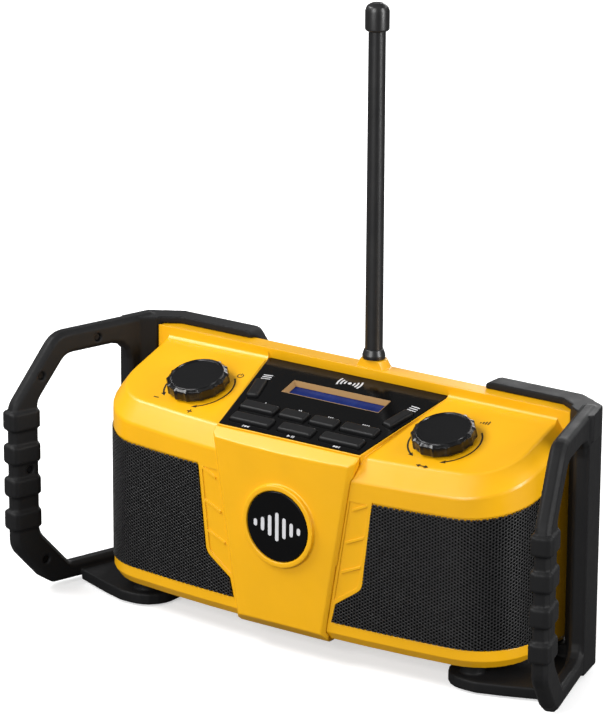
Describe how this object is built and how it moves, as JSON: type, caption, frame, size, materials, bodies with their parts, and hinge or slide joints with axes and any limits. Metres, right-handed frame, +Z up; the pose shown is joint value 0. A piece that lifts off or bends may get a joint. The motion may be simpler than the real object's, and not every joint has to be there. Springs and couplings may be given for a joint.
{
  "type": "portable radio",
  "caption": "Rugged portable radio with wrap-round speaker grilles, tilted control panel, turning knobs, whip antenna, rear battery door and protective loop handles at the sides.",
  "frame": {"origin": "on the floor, below the middle of the whole object's bounding box", "axes": "+X towards the tuning knob side, the front with the grilles faces -Y, +Z up along the antenna"},
  "size_m": [0.3956, 0.122, 0.384],
  "materials": {
    "housing_yellow": "satin injection-moulded yellow",
    "grip_rubber": "matt soft-touch black",
    "foot_rubber": "matt black",
    "fascia_gloss": "high-gloss black",
    "key_plastic": "satin black",
    "knob_plastic": "satin black",
    "grille_steel": "perforated, semi-matt black",
    "bare_steel": "plain",
    "cone_paper": "black coated paper",
    "circuit_board": "green solder mask",
    "display_frame": "tan lining",
    "display_glass": "blue display glass"
  },
  "bodies": {
    "housing": {"front_housing": "housing_yellow", "rear_housing": "housing_yellow", "housing_seal": "foot_rubber", "centre_panel": "housing_yellow", "badge": "fascia_gloss", "control_fascia": "fascia_gloss", "lcd_frame": "display_frame", "lcd_screen": "display_glass", "lcd_board": "circuit_board", "keypad_board": "circuit_board", "main_board": "circuit_board", "grille_left": "grille_steel", "speaker_basket_left": "bare_steel", "speaker_cone_left": "cone_paper", "handle_left_outer": "grip_rubber", "handle_left_inner": "grip_rubber", "handle_left_screw_1": "bare_steel", "handle_left_screw_2": "bare_steel", "handle_left_screw_3": "bare_steel", "handle_left_screw_4": "bare_steel", "foot_pad_left": "foot_rubber", "grille_right": "grille_steel", "speaker_basket_right": "bare_steel", "speaker_cone_right": "cone_paper", "handle_right_outer": "grip_rubber", "handle_right_inner": "grip_rubber", "handle_right_screw_1": "bare_steel", "handle_right_screw_2": "bare_steel", "handle_right_screw_3": "bare_steel", "handle_right_screw_4": "bare_steel", "foot_pad_right": "foot_rubber", "volume_encoder": "key_plastic", "tuning_encoder": "key_plastic", "antenna_base": "key_plastic", "battery_pack": "key_plastic", "door_hinge_pin": "bare_steel", "socket_block": "key_plastic"},
    "previous_key": {"previous_key": "key_plastic"},
    "play_key": {"play_key": "key_plastic"},
    "next_key": {"next_key": "key_plastic"},
    "preset_1_key": {"preset_1_key": "key_plastic"},
    "preset_2_key": {"preset_2_key": "key_plastic"},
    "preset_3_key": {"preset_3_key": "key_plastic"},
    "preset_4_key": {"preset_4_key": "key_plastic"},
    "mode_key": {"mode_key": "key_plastic"},
    "menu_key": {"menu_key": "key_plastic"},
    "volume_rotor": {"volume_rotor": "bare_steel"},
    "volume_knob": {"volume_knob": "knob_plastic", "volume_shaft": "bare_steel"},
    "tuning_rotor": {"tuning_rotor": "bare_steel"},
    "tuning_knob": {"tuning_knob": "knob_plastic", "tuning_shaft": "bare_steel"},
    "antenna": {"antenna_rod": "grip_rubber", "antenna_cap": "grip_rubber"},
    "battery_door": {"battery_door": "housing_yellow"},
    "door_latch": {"door_latch": "key_plastic"},
    "port_cover": {"port_cover": "grip_rubber"}
  },
  "joints": [
    {"name": "previous_key_press", "type": "slide", "parent": "housing", "child": "previous_key", "axis": [0, -0.2631, 0.9648], "range_m": [-0.0008, 0], "stiffness_N_per_m": 250},
    {"name": "play_key_press", "type": "slide", "parent": "housing", "child": "play_key", "axis": [0, -0.2631, 0.9648], "range_m": [-0.0008, 0], "stiffness_N_per_m": 250},
    {"name": "next_key_press", "type": "slide", "parent": "housing", "child": "next_key", "axis": [0, -0.2631, 0.9648], "range_m": [-0.0008, 0], "stiffness_N_per_m": 250},
    {"name": "preset_1_key_press", "type": "slide", "parent": "housing", "child": "preset_1_key", "axis": [0, -0.2631, 0.9648], "range_m": [-0.0008, 0], "stiffness_N_per_m": 250},
    {"name": "preset_2_key_press", "type": "slide", "parent": "housing", "child": "preset_2_key", "axis": [0, -0.2631, 0.9648], "range_m": [-0.0008, 0], "stiffness_N_per_m": 250},
    {"name": "preset_3_key_press", "type": "slide", "parent": "housing", "child": "preset_3_key", "axis": [0, -0.2631, 0.9648], "range_m": [-0.0008, 0], "stiffness_N_per_m": 250},
    {"name": "preset_4_key_press", "type": "slide", "parent": "housing", "child": "preset_4_key", "axis": [0, -0.2631, 0.9648], "range_m": [-0.0008, 0], "stiffness_N_per_m": 250},
    {"name": "mode_key_press", "type": "slide", "parent": "housing", "child": "mode_key", "axis": [0, -0.2631, 0.9648], "range_m": [-0.0008, 0], "stiffness_N_per_m": 250},
    {"name": "menu_key_press", "type": "slide", "parent": "housing", "child": "menu_key", "axis": [0, -0.2631, 0.9648], "range_m": [-0.0008, 0], "stiffness_N_per_m": 250},
    {"name": "volume_turn", "type": "hinge", "parent": "housing", "child": "volume_rotor", "pos_m": [-0.0892, -0.00048, 0.141], "axis": [0, -0.2974, 0.9548], "continuous": true},
    {"name": "volume_press", "type": "slide", "parent": "volume_rotor", "child": "volume_knob", "axis": [0, -0.2974, 0.9548], "range_m": [-0.0007, 0], "stiffness_N_per_m": 400},
    {"name": "tuning_turn", "type": "hinge", "parent": "housing", "child": "tuning_rotor", "pos_m": [0.0892, -0.00048, 0.141], "axis": [0, -0.2974, 0.9548], "continuous": true},
    {"name": "tuning_press", "type": "slide", "parent": "tuning_rotor", "child": "tuning_knob", "axis": [0, -0.2974, 0.9548], "range_m": [-0.0007, 0], "stiffness_N_per_m": 400},
    {"name": "antenna_flex", "type": "hinge", "parent": "housing", "child": "antenna", "pos_m": [0.0073, 0.04602, 0.177], "axis": [1, 0, 0], "range_deg": [-30, 30], "stiffness_Nm_per_rad": 0.6},
    {"name": "battery_door_swing", "type": "hinge", "parent": "housing", "child": "battery_door", "pos_m": [0, 0.05652, 0.034], "axis": [-1, 0, 0], "range_deg": [0, 100]},
    {"name": "door_latch_slide", "type": "slide", "parent": "battery_door", "child": "door_latch", "axis": [0, 0, 1], "range_m": [-0.0026, 0]},
    {"name": "port_cover_flap", "type": "hinge", "parent": "housing", "child": "port_cover", "pos_m": [0.104, 0.05412, 0.036], "axis": [-1, 0, 0], "range_deg": [0, 100]}
  ]
}
